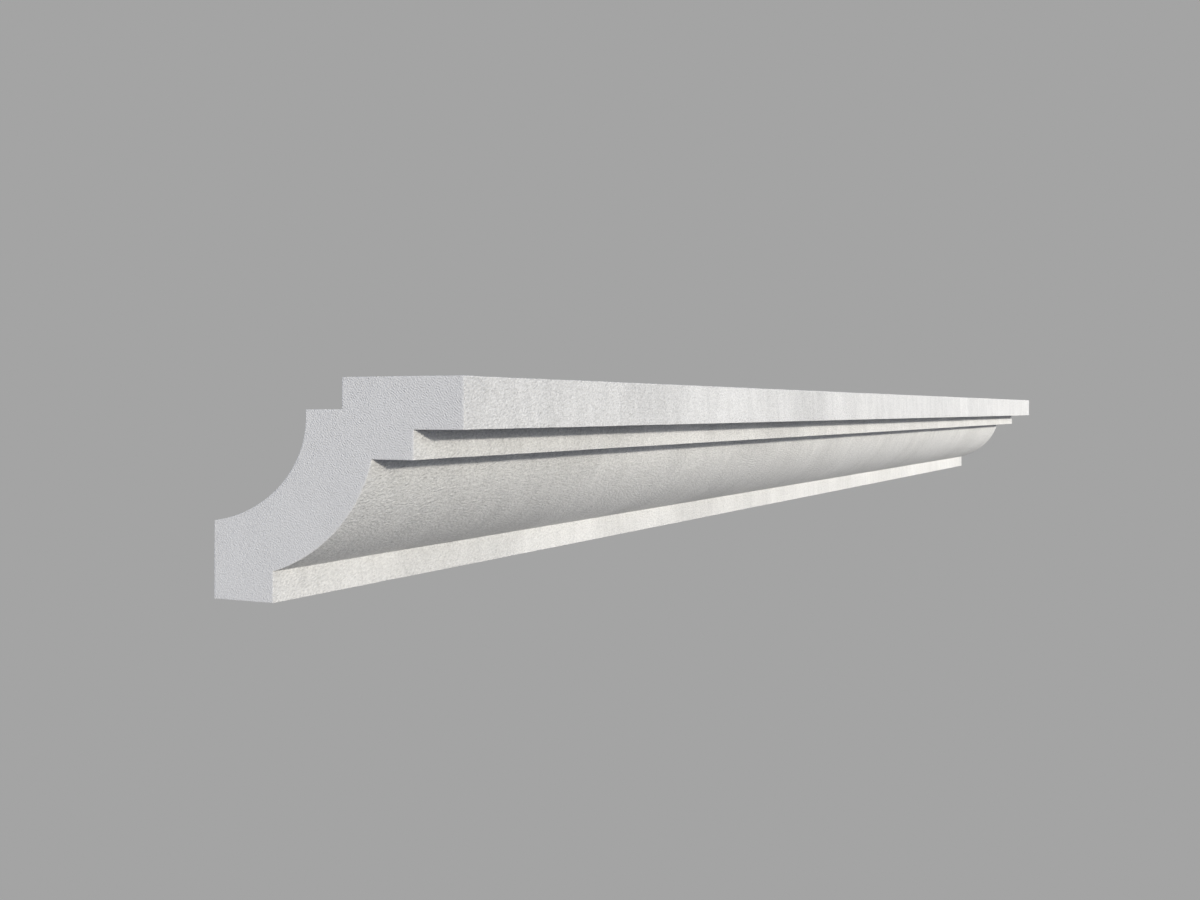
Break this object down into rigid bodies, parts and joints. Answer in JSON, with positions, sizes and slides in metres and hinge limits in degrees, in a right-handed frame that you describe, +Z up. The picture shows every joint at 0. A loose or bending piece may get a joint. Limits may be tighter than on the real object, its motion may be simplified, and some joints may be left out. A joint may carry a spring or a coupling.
{
  "type": "corner moulding",
  "caption": "Straight corner moulding with a fascia, stepped fillets, a convex quarter round and a hollow back, cut square at its ends.",
  "frame": {"origin": "centre of the flat wall face at the back, half way along the length", "axes": "+X along the length, +Y into the wall, at right angles to the wall face, +Z up"},
  "size_m": [2, 0.168, 0.126],
  "materials": {
    "sandy_coat": "fine sandy mineral coat, off-white and matt, with soft patches and a faint brushed grain"
  },
  "bodies": {
    "root": {"moulding": "sandy_coat"}
  },
  "joints": []
}
